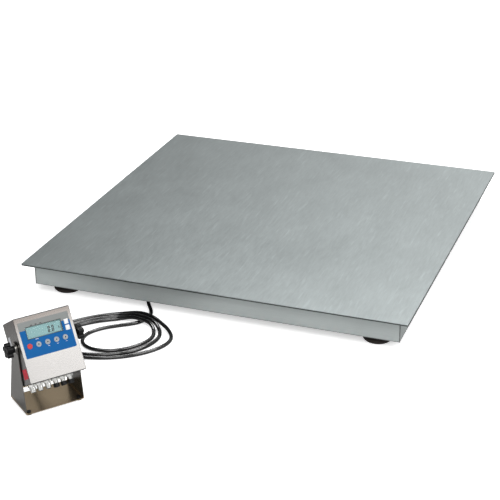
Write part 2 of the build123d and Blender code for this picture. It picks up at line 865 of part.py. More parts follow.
# Sockets and blanked glands under the housing
with BuildPart() as underside_sockets:
    for place, kind in socket_spots.items():
        with BuildSketch(belly.offset(-housing_wall - socket_tail)):
            with Locations((place, 0)):
                Circle(socket_stem)
        extrude(amount=housing_wall + socket_tail)
        with BuildSketch(belly):
            with Locations((place, 0)):
                RegularPolygon(hexagon_radius(socket_flats), 6, rotation=30)
        extrude(amount=socket_hexagon)
        with BuildSketch(belly.offset(socket_hexagon)):
            with Locations((place, 0)):
                Circle(socket_body_radius[kind])
        extrude(amount=socket_body_length[kind], taper=socket_taper)
save(underside_sockets, "underside_sockets")

cap_start = socket_hexagon + socket_body_length["cap"]
with BuildPart() as socket_caps:
    for place in [p for p, kind in socket_spots.items() if kind == "cap"]:
        with BuildSketch(belly.offset(cap_start)):
            with Locations((place, 0)):
                Circle(cap_radius)
        extrude(amount=cap_length)
        with BuildSketch(belly.offset(cap_start + cap_length)):
            with Locations((place, 0)):
                Circle(cap_radius)
        extrude(amount=cap_crown, taper=cap_taper)
save(socket_caps, "socket_caps")

rear_spot = panel.from_local_coords((0, rear_gland_drop, -cover_back))
rear_plane = Plane(origin=rear_spot, x_dir=across * -1, z_dir=panel_out * -1)
with BuildPart() as rear_gland:
    add(gland(rear_plane, cover_thickness, rear_gland_length, **large_gland))
save(rear_gland, "rear_gland")

# Plain patches: a red seal on the housing's left side and a blank plate near its back
left_side = Plane(origin=panel.origin - across * panel_half, x_dir=panel_out, z_dir=across * -1)
with BuildPart() as side_patches:
    with BuildSketch(left_side):
        with Locations(seal_place):
            Rectangle(*seal_size)
        with Locations(blank_place):
            Rectangle(*blank_size)
    extrude(amount=patch_thickness)
save(side_patches, "side_patches")

# Pivot: spacers inside the ears, washers and star knobs outside
spacer_thickness = stand_half - stand_sheet - panel_half - side_gap
with BuildPart() as pivot_spacers:
    for side in (-1, 1):
        with BuildSketch(pivot_side(side, panel_half)):
            Circle(spacer_radius)
            Circle(pivot_hole, mode=Mode.SUBTRACT)
        extrude(amount=spacer_thickness)
save(pivot_spacers, "pivot_spacers")

washer_start = stand_half + side_gap
knob_start = washer_start + washer_thickness + side_gap
stud_end = panel_half - housing_wall - boss_length + knob_stud_gap
for name, side in (("left", -1), ("right", 1)):
    with BuildPart() as washer:
        with BuildSketch(pivot_side(side, washer_start)):
            Circle(washer_radius)
            Circle(pivot_hole, mode=Mode.SUBTRACT)
        extrude(amount=washer_thickness)
    save(washer, f"washer_{name}")

    with BuildPart() as knob:
        with BuildSketch(pivot_side(side, knob_start + neck_of_knob_length)):
            Circle(knob_radius - lobe_radius)
            with PolarLocations(knob_radius - lobe_radius, knob_lobes):
                Circle(lobe_radius)
        extrude(amount=knob_length)
        fillet(knob.faces().sort_by(Axis(pivot, across * side))[-1].edges(), knob_edge)
        with BuildSketch(pivot_side(side, knob_start)):
            Circle(neck_of_knob_radius)
        extrude(amount=neck_of_knob_length)
        with BuildSketch(pivot_side(side, stud_end)):
            Circle(knob_stud_radius)
        extrude(amount=knob_start - stud_end)
    save(knob, f"knob_{name}")

# Signal cable: from the box's outlet under the frame, through three loose loops, to the housing's rear gland
low = signal_radius + 0.1
top = crossing_height
rear_mouth = rear_plane.origin - panel_out * rear_gland_length
drop_start = rear_mouth - panel_out * straight_at_gland
signal_route = [
    (outlet_x, box_front - outlet_length, gland_height), (outlet_x, -165, gland_height),
    (-224, -187, 43), (-217, -208, 23),
    (-205, -229, 10), (-189, -249, low), (-177, -271, low), (-172, -297, low), (-178, -324, low),
    (-196, -349, low), (-231, -373, low), (-268, -401, low), (-293, -434, low), (-301, -463, low),
    (-295, -492, low), (-277, -515, low), (-249, -528, low), (-213, -527, low), (-176, -514, low),
    (-143, -483, low), (-119, -445, low), (-111, -410, low), (-119, -380, 10), (-139, -357, top),
    (-169, -342, top), (-208, -335, top), (-246, -339, 8), (-281, -355, low), (-320, -384, low),
    (-354, -423, low), (-377, -473, low), (-371, -523, low), (-337, -556, low), (-290, -566, low),
    (-238, -559, low), (-185, -542, low), (-138, -512, low), (-109, -472, low), (-95, -430, low),
    (-95, -392, low), (-112, -361, 10), (-138, -339, top), (-170, -325, top), (-208, -319, top),
    (-250, -323, 8), (-287, -340, low), (-328, -371, low), (-366, -413, low), (-392, -466, low),
    (-389, -527, low), (-350, -570, low), (-296, -581, low), (-236, -577, low), (-176, -558, low),
    (-124, -527, low), (-82, -484, low), (-57, -436, low), (-57, -394, low), (-81, -361, 10),
    (-118, -334, 14), (-155, -312, top), (-202, -302, top), (-254, -307, 8), (-295, -325, low),
    (-338, -358, low), (-379, -405, low), (-407, -464, low), (-416, -528, low), (-412, -593, low),
    (-394, -651, low), (-364, -698, 10), (-335, -725, 28), (-306, -749, 48),
    (drop_start.X, drop_start.Y, drop_start.Z), (rear_mouth.X, rear_mouth.Y, rear_mouth.Z),
]
signal_tube, signal_length = tube(signal_route, signal_radius)
with BuildPart() as signal_cable:
    add(signal_tube)
save(signal_cable, "signal_cable")
print("signal cable radii", [round(r) for r in corner_radii(signal_route)])
print("signal cable length", round(signal_length), "volume", round(signal_cable.part.volume),
      "section times length", round(signal_length * pi * signal_radius**2))
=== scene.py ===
import json
import math

import bmesh
import bpy
from mathutils import Matrix, Vector


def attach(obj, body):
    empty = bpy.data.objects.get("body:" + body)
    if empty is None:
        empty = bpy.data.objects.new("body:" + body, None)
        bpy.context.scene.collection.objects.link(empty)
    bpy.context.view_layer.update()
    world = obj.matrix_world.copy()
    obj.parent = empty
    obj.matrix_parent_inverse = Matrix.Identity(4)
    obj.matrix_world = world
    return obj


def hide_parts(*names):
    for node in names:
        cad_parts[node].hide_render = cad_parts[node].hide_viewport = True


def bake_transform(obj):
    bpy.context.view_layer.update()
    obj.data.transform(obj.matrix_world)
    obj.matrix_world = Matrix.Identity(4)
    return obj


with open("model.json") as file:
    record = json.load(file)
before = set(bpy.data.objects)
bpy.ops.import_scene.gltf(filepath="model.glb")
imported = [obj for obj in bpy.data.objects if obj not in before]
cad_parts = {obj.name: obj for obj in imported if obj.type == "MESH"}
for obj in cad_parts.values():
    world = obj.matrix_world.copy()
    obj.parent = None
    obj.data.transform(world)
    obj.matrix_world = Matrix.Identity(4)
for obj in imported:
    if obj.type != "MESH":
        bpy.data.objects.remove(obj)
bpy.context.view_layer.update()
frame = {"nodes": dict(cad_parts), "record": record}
nodes = frame["nodes"]
scene = bpy.context.scene
mm = 0.001
print("stage: frame loaded")

# shared directions and places, in metres and the CAD's frame
up = Vector((0, 0, 1))
frontToBack = Vector((0, 1, 0))
leftToRight = Vector((1, 0, 0))


def framed(origin, xAxis, zAxis):
    # a place with its own axes: y is square to the two that are given
    z = Vector(zAxis).normalized()
    x = Vector(xAxis).normalized()
    turn = Matrix((x, z.cross(x), z)).transposed().to_4x4()
    return Matrix.Translation(Vector(origin)) @ turn


platform = {"y": 0.322, "half": 0.6, "top": 0.104, "underside": 0.098, "frameHalf": 0.570,
            "frameBottom": 0.028}
stand = {"x": -0.240, "y": -0.803, "turn": math.radians(51.1), "base": 0.006, "pivotBack": -0.010,
         "pivotHeight": 0.178}
housing = {"lean": math.radians(32.6), "halfHeight": 0.086, "coverBack": 0.0935, "behind": 0.038,
           "above": 0.0136}
across = Vector((math.cos(stand["turn"]), math.sin(stand["turn"]), 0))
backwards = Vector((-math.sin(stand["turn"]), math.cos(stand["turn"]), 0))
panelOut = up * math.sin(housing["lean"]) - backwards * math.cos(housing["lean"])
panelRise = up * math.cos(housing["lean"]) + backwards * math.sin(housing["lean"])
standCentre = Vector((stand["x"], stand["y"], 0))
pivot = standCentre + backwards * stand["pivotBack"] + up * stand["pivotHeight"]
panelCentre = pivot + panelOut * housing["behind"] - panelRise * housing["above"]
panel = framed(panelCentre, across, panelOut)


def onPanel(right, rise, out=0.0):
    # millimetres across, up and out of the housing's front
    return panel @ Matrix.Translation((right * mm, rise * mm, out * mm))


# camera
cameraPlace = {"at": (1.3776, -3.566, 1.8872), "turn": math.radians(20.64), "pitch": math.radians(24.84),
               "roll": math.radians(-0.69), "lens": 99.612, "sensor": 36, "farthest": 60}
camera = bpy.data.objects.new("camera", bpy.data.cameras.new("camera"))
scene.collection.objects.link(camera)
scene.camera = camera
camera.data.lens = cameraPlace["lens"]
camera.data.sensor_width = cameraPlace["sensor"]
camera.data.clip_end = cameraPlace["farthest"]
lookBack = Vector((math.sin(cameraPlace["turn"]) * math.cos(cameraPlace["pitch"]),
                   -math.cos(cameraPlace["turn"]) * math.cos(cameraPlace["pitch"]),
                   math.sin(cameraPlace["pitch"])))
camera.matrix_world = (framed(cameraPlace["at"], up.cross(lookBack), lookBack)
                       @ Matrix.Rotation(cameraPlace["roll"], 4, "Z"))

# the long cable, from the box's outlet under the platform to the gland on the housing's back
cable = {"radius": 0.0055, "length": 3.25, "bend": 0.1, "gland": 0.024, "straight": 0.030, "drop": -50}
outletMouth = Vector((-0.226, -0.140, 0.060))
rearGland = panelCentre + panelRise * cable["drop"] * mm - panelOut * housing["coverBack"]
rearMouth = rearGland - panelOut * cable["gland"]
dropStart = rearMouth - panelOut * cable["straight"]
low, top = 5.6, 19  # heights of its middle in millimetres: on the floor, and over itself
cableRoute = [
    tuple(outletMouth / mm), (-226, -165, 60), (-224, -187, 43), (-217, -208, 23),
    (-205, -229, 10), (-189, -249, low), (-177, -271, low), (-172, -297, low), (-178, -324, low),
    (-196, -349, low), (-231, -373, low), (-268, -401, low), (-293, -434, low), (-301, -463, low),
    (-295, -492, low), (-277, -515, low), (-249, -528, low), (-213, -527, low), (-176, -514, low),
    (-143, -483, low), (-119, -445, low), (-111, -410, low), (-119, -380, 10), (-139, -357, top),
    (-169, -342, top), (-208, -335, top), (-246, -339, 8), (-281, -355, low), (-320, -384, low),
    (-354, -423, low), (-377, -473, low), (-371, -523, low), (-337, -556, low), (-290, -566, low),
    (-238, -559, low), (-185, -542, low), (-138, -512, low), (-109, -472, low), (-95, -430, low),
    (-95, -392, low), (-112, -361, 10), (-138, -339, top), (-170, -325, top), (-208, -319, top),
    (-250, -323, 8), (-287, -340, low), (-328, -371, low), (-366, -413, low), (-392, -466, low),
    (-389, -527, low), (-350, -570, low), (-296, -581, low), (-236, -577, low), (-176, -558, low),
    (-124, -527, low), (-82, -484, low), (-57, -436, low), (-57, -394, low), (-81, -361, 10),
    (-118, -334, 14), (-155, -312, top), (-202, -302, top), (-254, -307, 8), (-295, -325, low),
    (-338, -358, low), (-379, -405, low), (-407, -464, low), (-416, -528, low), (-412, -593, low),
    (-394, -651, low), (-364, -698, 10), (-335, -725, 28), (-306, -749, 48),
    tuple(dropStart / mm), tuple(rearMouth / mm),
]


def smoothCurve(name, route, thickness=0.0):
    # a quadratic NURBS curve through the route's corners, as a mesh: its line, or a tube of that radius
    curve = bpy.data.curves.new(name, "CURVE")
    curve.dimensions = "3D"
    curve.resolution_u = 8
    curve.bevel_depth = thickness
    curve.bevel_resolution = 6
    curve.use_fill_caps = True
    spline = curve.splines.new("NURBS")
    spline.points.add(len(route) - 1)
    for point, place in zip(spline.points, route):
        point.co = (*[v * mm for v in place], 1)
    spline.order_u = 3
    spline.use_endpoint_u = True
    holder = bpy.data.objects.new(name, curve)
    scene.collection.objects.link(holder)
    bpy.context.view_layer.update()
    mesh = bpy.data.meshes.new_from_object(holder.evaluated_get(bpy.context.evaluated_depsgraph_get()))
    bpy.data.objects.remove(holder)
    return mesh


cableLine = [v.co.copy() for v in smoothCurve("signalLine", cableRoute).vertices]
cableMesh = smoothCurve("signalTube", cableRoute, cable["radius"])
cableMesh.shade_smooth()
signalCable = bpy.data.objects.new("signalCable", cableMesh)
scene.collection.objects.link(signalCable)
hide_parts("signal_cable")
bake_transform(signalCable)
print("stage: camera and cable")


# shader maths
def calculation(operation, reflected=False):
    def apply(self, other=0.0):
        pair = (other, self) if reflected else (self, other)
        return self.look.node("ShaderNodeMath", {"operation": operation}, *pair)
    return apply


class Value:
    # a socket that takes part in sums
    def __init__(self, look, socket):
        self.look, self.socket = look, socket

    __add__, __radd__ = calculation("ADD"), calculation("ADD", True)
    __sub__, __rsub__ = calculation("SUBTRACT"), calculation("SUBTRACT", True)
    __mul__, __rmul__ = calculation("MULTIPLY"), calculation("MULTIPLY", True)
    above = calculation("GREATER_THAN")
    largest = calculation("MAXIMUM")
    absolute = calculation("ABSOLUTE")


class Graph:
    # a shader tree that is written as sums and calls
    def __init__(self, tree):
        self.tree = tree

    def put(self, socket, value):
        if isinstance(value, Value):
            self.tree.links.new(value.socket, socket)
        else:
            socket.default_value = value

    def node(self, kind, settings=None, *inputs, result=0, **named):
        made = self.tree.nodes.new(kind)
        for setting, value in (settings or {}).items():
            setattr(made, setting, value)
        for place, value in enumerate(inputs):
            self.put(made.inputs[place], value)
        for socket, value in named.items():
            self.put(made.inputs[socket], value)
        return Value(self, made.outputs[result])

    def position(self):
        return self.node("ShaderNodeTexCoord", result=3)

    def vector(self, operation, *inputs, result=0, **named):
        return self.node("ShaderNodeVectorMath", {"operation": operation}, *inputs, result=result, **named)

    def along(self, place, axis):
        return self.vector("DOT_PRODUCT", place, tuple(axis), result=1)

    def grain(self, axis, stretch, drift=0.0):
        # coordinates drawn out along an axis, so that noise on them makes brush lines
        place = self.position()
        run = self.along(place, axis)
        drawn = self.vector("ADD", place, self.vector("SCALE", tuple(axis), Scale=run * (1 / stretch - 1)))
        return self.vector("ADD", drawn, (drift, drift, drift))

    def noise(self, place, scale, detail=2.0, roughness=0.5):
        return self.node("ShaderNodeTexNoise", None, Vector=place, Scale=scale, Detail=detail,
                         Roughness=roughness)

    def remap(self, value, low, high, lowTo, highTo):
        return self.node("ShaderNodeMapRange", None, value, low, high, lowTo, highTo)

    def mix(self, factor, first, second):
        made = self.tree.nodes.new("ShaderNodeMix")
        made.data_type = "RGBA"
        for place, value in ((0, factor), (6, first), (7, second)):
            self.put(made.inputs[place], value if isinstance(value, (Value, float, int)) else (*value[:3], 1))
        return Value(self, made.outputs[2])


class Look(Graph):
    # one procedural material on a Principled shader
    def __init__(self, name, **uniform):
        self.material = bpy.data.materials.new(name)
        self.material.use_nodes = True
        super().__init__(self.material.node_tree)
        self.shader = self.tree.nodes["Principled BSDF"]
        for socket, value in uniform.items():
            self.shader.inputs[socket.replace("_", " ")].default_value = value

    def bump(self, height, strength, distance):
        normal = self.node("ShaderNodeBump", None, Strength=strength, Distance=distance, Height=height)
        self.put(self.shader.inputs["Normal"], normal)

    def colour(self, value):
        self.put(self.shader.inputs["Base Color"], value)

    def gloss(self, value):
        self.put(self.shader.inputs["Roughness"], value)

    def toned(self, tone, colour):
        # the colour, darker where the tone is below 0 and lighter where it is above
        return self.mix(tone + 0.5, shade(colour, 0.5), shade(colour, 1.5))

    def upPanel(self):
        # metres up the housing's front, from its middle
        return self.along(self.vector("SUBTRACT", self.position(), tuple(panelCentre)), panelRise)


def shade(colour, factor):
    return tuple(v * factor for v in colour)


def smoothMetal(name, colour, roughness, wear=0.06):
    # plated metal: even, with small scuffs
    look = Look(name, Metallic=1.0)
    scuff = look.noise(look.position(), 260.0, 4.0, 0.6)
    look.colour(look.toned(look.remap(scuff, 0.3, 0.7, -wear, wear), colour))
    look.gloss(look.remap(scuff, 0.3, 0.7, roughness, roughness + 0.1))
    look.bump(scuff, 0.05, 0.00003)
    return look


def moulded(name, colour, roughness, grainSize=1500.0, depth=0.25, shine=0.35, dusty=0.008):
    # moulded plastic or rubber: a fine pebbled skin and slight dust
    look = Look(name, Specular_IOR_Level=shine)
    skin = look.noise(look.position(), grainSize, 2.0, 0.5)
    dust = look.noise(look.position(), 40.0, 4.0, 0.6)
    look.colour(look.mix(look.remap(dust, 0.35, 0.75, 0.0, 0.35), colour, tuple(v + dusty for v in colour)))
    look.gloss(look.remap(dust, 0.3, 0.7, roughness * 0.9, roughness * 1.15))
    look.bump(skin, depth, 0.00005)
    return look


def satinFilm(name, colour, roughness=0.45):
    # matt ink, film or dull metal with a fine weave
    look = Look(name)
    weave = look.noise(look.position(), 2600.0, 2.0, 0.5)
    look.colour(look.mix(look.remap(weave, 0.3, 0.7, 0.4, 0.6), shade(colour, 0.92), shade(colour, 1.06)))
    look.gloss(look.remap(weave, 0.3, 0.7, roughness - 0.05, roughness + 0.05))
    look.bump(weave, 0.15, 0.00002)
    return look


# the two dark edge colours are painted shade on the plate's sides and right end, not the steel's own colour
plateFinish = {"colour": (0.455, 0.50, 0.50), "edgeShade": (0.105, 0.118, 0.114), "edgeDepth": 0.0022,
               "rightEndShade": (0.025, 0.03, 0.03), "edgeReach": 0.0006, "gloss": (0.33, 0.38), "bump": 0.10}


def plateLook():
    # the load plate: brush lines from front to back, short dashes, slow clouds, and painted shade on its cut
    # edges and right end
    look = Look("brushedPlate", Metallic=1.0)
    fine = look.noise(look.grain(frontToBack, 60), 700, 3.0, 0.65)
    dash = look.noise(look.grain(frontToBack, 7, 5.0), 170, 3.0, 0.65)
    fleck = look.noise(look.grain(frontToBack, 10, 7.0), 110, 2.0, 0.5)
    patch = look.noise(look.grain(frontToBack, 2, 9.0), 12, 3.0, 0.6)
    slow = look.noise(look.position(), 2.4, 2.0)
    tone = (look.remap(fine, 0.25, 0.75, -0.05, 0.05) + look.remap(dash, 0.3, 0.7, -0.06, 0.06)
            + look.remap(fleck, 0.60, 0.72, 0.0, 0.10) + look.remap(patch, 0.3, 0.7, -0.05, 0.05)
            + look.remap(slow, 0.3, 0.7, -0.04, 0.04))
    height = look.along(look.position(), up)
    # painted shade: the band round the plate's sides and its right end face take the dark colours
    belowTop = 1 - height.above(platform["top"] - plateFinish["edgeDepth"])
    shadedEdges = height.above(platform["underside"] + 0.0001) * belowTop
    shadedEnds = look.along(look.position(), leftToRight).above(platform["half"] - plateFinish["edgeReach"])
    face = look.mix(shadedEdges, look.toned(tone, plateFinish["colour"]), plateFinish["edgeShade"])
    look.colour(look.mix(shadedEnds, face, plateFinish["rightEndShade"]))
    look.gloss(look.remap(dash, 0.25, 0.75, *plateFinish["gloss"]))
    look.bump(fine, plateFinish["bump"], 0.00005)
    return look


# the dark edge colour is painted shade, on the folded lower edge and the right end
frameFinish = {"colour": (0.44, 0.475, 0.47), "edge": (0.06, 0.06, 0.06), "foldShade": 0.002, "foldShadeShare": 0.6,
               "end": 0.0002, "endShadeShare": 0.25, "gloss": (0.5, 0.62)}


def frameLook():
    # the edge channels: even satin steel, with painted shade along the folded lower edge and at the right end
    look = Look("satinFrame", Metallic=0.4, Specular_IOR_Level=0.2)
    fine = look.noise(look.grain(leftToRight, 40), 500, 3.0, 0.65)
    slow = look.noise(look.position(), 4.0, 3.0)
    tone = look.remap(fine, 0.25, 0.75, -0.07, 0.07) + look.remap(slow, 0.3, 0.7, -0.06, 0.06)
    # painted shade: the band along the folded lower edge is darkened most, the right end face less
    foldShade = 1 - look.along(look.position(), up).above(platform["frameBottom"] + frameFinish["foldShade"])
    shadedEnds = look.along(look.position(), leftToRight).above(platform["frameHalf"] - frameFinish["end"])
    face = look.toned(tone, frameFinish["colour"])
    face = look.mix(shadedEnds * frameFinish["endShadeShare"], face, frameFinish["edge"])
    look.colour(look.mix(foldShade * frameFinish["foldShadeShare"], face, frameFinish["edge"]))
    look.gloss(look.remap(fine, 0.2, 0.8, *frameFinish["gloss"]))
    look.bump(fine, 0.1, 0.00004)
    return look


# the base and wall colours are painted reflection, brown and dark, not the steel's own tint
standFinish = {"base": (0.57, 0.45, 0.30), "wallReflection": (0.225, 0.215, 0.20), "from": 0.001, "to": 0.008,
               "gloss": (0.18, 0.26)}


def standLook():
    # the stand's polished sheet, with painted reflection: brown on its base plate, dark on its walls
    look = Look("mirrorSteel", Metallic=1.0)
    fine = look.noise(look.grain(across, 50), 1300, 3.0, 0.65)
    slow = look.noise(look.position(), 6.0, 3.0)
    tone = look.remap(fine, 0.25, 0.75, -0.05, 0.05) + look.remap(slow, 0.3, 0.7, -0.05, 0.05)
    wall = look.remap(look.along(look.position(), up), stand["base"] + standFinish["from"],
                      stand["base"] + standFinish["to"], 0.0, 1.0)
    # painted reflection: brown on the base plate, turning to dark grey up the walls
    paintedReflection = look.mix(wall, standFinish["base"], standFinish["wallReflection"])
    dark = look.vector("SCALE", paintedReflection, Scale=0.5)
    look.colour(look.mix(tone + 0.5, dark, look.vector("SCALE", paintedReflection, Scale=1.5)))
    look.gloss(look.remap(fine, 0.2, 0.8, *standFinish["gloss"]))
    look.bump(fine, 0.06, 0.00004)
    return look


# the upper and fold colours are painted shade
housingFinish = {"colour": (0.25, 0.243, 0.236), "upperShade": (0.128, 0.116, 0.107), "from": 0.020, "to": 0.078,
                 "foldShade": (0.05, 0.05, 0.05), "foldShadeShare": 0.85, "topFold": 0.0028, "lowFold": 0.0022,
                 "gloss": (0.24, 0.31)}


def housingLook():
    # the housing's brushed sheet, with painted shade: darker towards its top, most along its folded top and
    # bottom edges
    look = Look("housingSteel", Metallic=1.0)
    fine = look.noise(look.grain(across, 50), 1500, 3.0, 0.65)
    slow = look.noise(look.position(), 6.0, 3.0)
    tone = look.remap(fine, 0.25, 0.75, -0.025, 0.025) + look.remap(slow, 0.3, 0.7, -0.02, 0.02)
    rise = look.upPanel()
    # painted shade: darker up the front, and dark bands at the top and bottom folds, the bottom one the lower
    # lip's shadow
    shadeUpwards = look.remap(rise, housingFinish["from"], housingFinish["to"], 0.0, 1.0)
    face = look.mix(shadeUpwards, look.toned(tone, housingFinish["colour"]), housingFinish["upperShade"])
    shadedFolds = (rise.above(housing["halfHeight"] - housingFinish["topFold"]) + 1
             - rise.above(housingFinish["lowFold"] - housing["halfHeight"]))
    look.colour(look.mix(shadedFolds * housingFinish["foldShadeShare"], face, housingFinish["foldShade"]))
    look.gloss(look.remap(fine, 0.2, 0.8, *housingFinish["gloss"]))
    look.bump(fine, 0.05, 0.00004)
    return look


overlayInk = {"blue": (0.006, 0.092, 0.28), "band": (0.215, 0.225, 0.215), "bandFrom": 0.050,
              "fibres": (0.1, 0.2, 0.4)}


def overlayLook():
    # printed film: a light grey band at the top, blue below, with fine texture
    look = Look("overlayFilm", Specular_IOR_Level=0.06)
    weave = look.noise(look.position(), 2600.0, 2.0, 0.5)
    ink = look.mix(look.upPanel().above(overlayInk["bandFrom"]), overlayInk["blue"], overlayInk["band"])
    look.colour(look.mix(look.remap(weave, 0.3, 0.7, 0.0, 0.05), ink, overlayInk["fibres"]))
    look.gloss(look.remap(weave, 0.3, 0.7, 0.5, 0.6))
    look.bump(weave, 0.15, 0.00002)
    return look


window = {"right": -4, "rise": 41, "width": 97.8, "height": 32.6, "line": 0.8}
crystal = {"dim": (0.19, 0.345, 0.35), "bright": (0.215, 0.375, 0.385), "rim": (0.05, 0.09, 0.09),
           "rimShare": 0.7, "rimAcross": (0.044, 0.0485), "rimUp": (0.0125, 0.0155)}


def displayLook():
    # liquid crystal glass: grey-green, a little darker at its rim
    look = Look("displayPanel", Roughness=0.5, Specular_IOR_Level=0.1)
    centre = onPanel(window["right"], window["rise"]).translation
    centred = look.vector("SUBTRACT", look.position(), tuple(centre))
    side = look.remap(look.along(centred, across).absolute(), *crystal["rimAcross"], 0.0, 1.0)
    rise = look.remap(look.along(centred, panelRise).absolute(), *crystal["rimUp"], 0.0, 1.0)
    cells = look.noise(look.position(), 900.0, 2.0)
    face = look.mix(look.remap(cells, 0.3, 0.7, 0.0, 0.3), crystal["dim"], crystal["bright"])
    look.colour(look.mix(side.largest(rise) * crystal["rimShare"], face, crystal["rim"]))
    return look


def windowLook():
    # clear window: mostly see-through, with a faint sheen and fine scratches
    look = Look("windowClear", Roughness=0.08)
    scratch = look.noise(look.grain(across, 30), 1200.0, 2.0)
    look.colour(look.mix(scratch, (0.9, 0.95, 0.94), (0.98, 1, 1)))
    look.put(look.shader.inputs["Alpha"], look.remap(scratch, 0.3, 0.8, 0.02, 0.06))
    return look


def patchLook():
    # plain films: red below, pale above
    look = Look("patchFilm", Roughness=0.5, Specular_IOR_Level=0.15)
    weave = look.noise(look.position(), 1800.0, 2.0)
    ink = look.mix(look.upPanel().above(0.0), (0.52, 0.008, 0.03), (0.62, 0.63, 0.66))
    look.colour(look.mix(look.remap(weave, 0.3, 0.7, 0.0, 0.04), ink, (0.7, 0.6, 0.6)))
    look.bump(weave, 0.1, 0.00002)
    return look


def boardLook():
    # circuit board: green mask with paler tracks
    look = Look("boardGreen", Roughness=0.35)
    tracks = look.noise(look.grain(leftToRight, 6), 420.0, 1.0)
    look.colour(look.mix(tracks.above(0.55), (0.012, 0.09, 0.035), (0.03, 0.16, 0.07)))
    look.bump(tracks, 0.2, 0.00003)
    return look


looks = {
    "brushed_plate": plateLook(),
    "satin_frame": frameLook(),
    "cell_steel": smoothMetal("cellSteel", (0.6, 0.6, 0.58), 0.3),
    "zinc_fasteners": smoothMetal("zincFasteners", (0.62, 0.62, 0.6), 0.25),
    "foot_rubber": moulded("footRubber", (0.022, 0.016, 0.014), 0.6, 900.0),
    "box_plastic": moulded("boxPlastic", (0.30, 0.31, 0.31), 0.5),
    "gasket_rubber": moulded("gasketRubber", (0.012, 0.012, 0.012), 0.75),
    "board_green": boardLook(),
    "terminal_plastic": moulded("terminalPlastic", (0.02, 0.16, 0.07), 0.45),
    "gland_metal": smoothMetal("glandMetal", (0.72, 0.71, 0.68), 0.2),
    "cable_jacket": moulded("cableJacket", (0.0012, 0.0012, 0.0014), 0.15, 700.0, 0.03, shine=1.0,
                            dusty=0.001),
    "lead_jacket": moulded("leadJacket", (0.03, 0.03, 0.032), 0.45),
    "mirror_steel": standLook(),
    "foot_black": moulded("footBlack", (0.003, 0.003, 0.003), 0.45, shine=0.2, dusty=0.003),
    "housing_steel": housingLook(),
    "overlay_film": overlayLook(),
    "window_clear": windowLook(),
    "display_panel": displayLook(),
    "key_metal": moulded("keyMetal", (0.33, 0.35, 0.37), 0.35),
    "key_red": moulded("keyRed", (0.50, 0.012, 0.012), 0.35),
    "switch_plastic": moulded("switchPlastic", (0.02, 0.02, 0.02), 0.5),
    "battery_wrap": moulded("batteryWrap", (0.03, 0.04, 0.2), 0.35),
    "socket_metal": smoothMetal("socketMetal", (0.72, 0.72, 0.7), 0.18),
    "cap_dark": moulded("capDark", (0.006, 0.006, 0.007), 0.42, shine=0.25, dusty=0.004),
    "patch_film": patchLook(),
    "spacer_rubber": moulded("spacerRubber", (0.012, 0.012, 0.012), 0.7),
    "knob_plastic": moulded("knobPlastic", (0.003, 0.003, 0.0035), 0.38, 900.0, 0.3, shine=0.22,
                            dusty=0.003),
}
for part in frame["record"]["subparts"]:
    for slot in nodes[part["node"]].material_slots:
        slot.link = "OBJECT"
        slot.material = looks[part["material_slot"]].material
signalCable.data.materials.clear()
signalCable.data.materials.append(looks["cable_jacket"].material)

extra = {
    # the dark look serves rubber, print, and painted shade in screw slots and along the window's edges
    "dark": moulded("darkTrimAndPaintedShade", (0.01, 0.01, 0.011), 0.5),
    "white": satinFilm("whiteFilm", (0.78, 0.78, 0.78)),
    "segment": satinFilm("segmentInk", (0.006, 0.009, 0.009), 0.6),
    "weld": satinFilm("weldBead", (0.13, 0.137, 0.134), 0.45),
    "potting": moulded("pottingResin", (0.55, 0.54, 0.50), 0.4, 500.0),
}
print("stage: materials")


# added pieces
sharpFrom = 0.6  # radians between two faces, from which their edge stays sharp


class Piece:
    # one object made of simple solids in the CAD's frame
    def __init__(self, name):
        self.name = name
        self.shape = bmesh.new()

    def block(self, place, size):
        lift = Matrix.Translation((0, 0, size[2] / 2)) @ Matrix.Diagonal((*size, 1))
        bmesh.ops.create_cube(self.shape, size=1, matrix=place @ lift)

    def turned(self, place, profile, sides=40):
        # a turned solid: radius and height pairs round the place's z axis
        self.loft([(place @ Matrix.Translation((0, 0, height)), radius) for radius, height in profile], sides)

    def loft(self, loops, sides=40):
        # a closed band through circles: each has a place and a radius, and the last joins the first
        rings = []
        for place, radius in loops:
            angles = [2 * math.pi * n / sides for n in range(sides)]
            points = [place @ Vector((radius * math.cos(a), radius * math.sin(a), 0)) for a in angles]
            rings.append([self.shape.verts.new(point) for point in points])
        for first, second in zip(rings, rings[1:] + rings[:1]):
            for n in range(sides):
                m = (n + 1) % sides
                self.shape.faces.new((first[n], first[m], second[m], second[n]))

    def prism(self, place, outline, height):
        lowFace = [self.shape.verts.new(place @ Vector((x, y, 0))) for x, y in outline]
        highFace = [self.shape.verts.new(place @ Vector((x, y, height))) for x, y in outline]
        self.shape.faces.new(list(reversed(lowFace)))
        self.shape.faces.new(highFace)
        count = len(outline)
        for n in range(count):
            m = (n + 1) % count
            self.shape.faces.new((lowFace[n], lowFace[m], highFace[m], highFace[n]))

    def done(self, look, body):
        bmesh.ops.recalc_face_normals(self.shape, faces=self.shape.faces)
        for edge in self.shape.edges:
            edge.smooth = len(edge.link_faces) == 2 and edge.calc_face_angle() < sharpFrom
        mesh = bpy.data.meshes.new(self.name)
        self.shape.to_mesh(mesh)
        self.shape.free()
        mesh.polygons.foreach_set("use_smooth", [True] * len(mesh.polygons))
        mesh.materials.append(look.material)
        made = bpy.data.objects.new(self.name, mesh)
        scene.collection.objects.link(made)
        if body:
            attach(made, body)
        return made


root = "platform_and_stand"
needle = 0.0001  # a turned solid's radius at its own axis

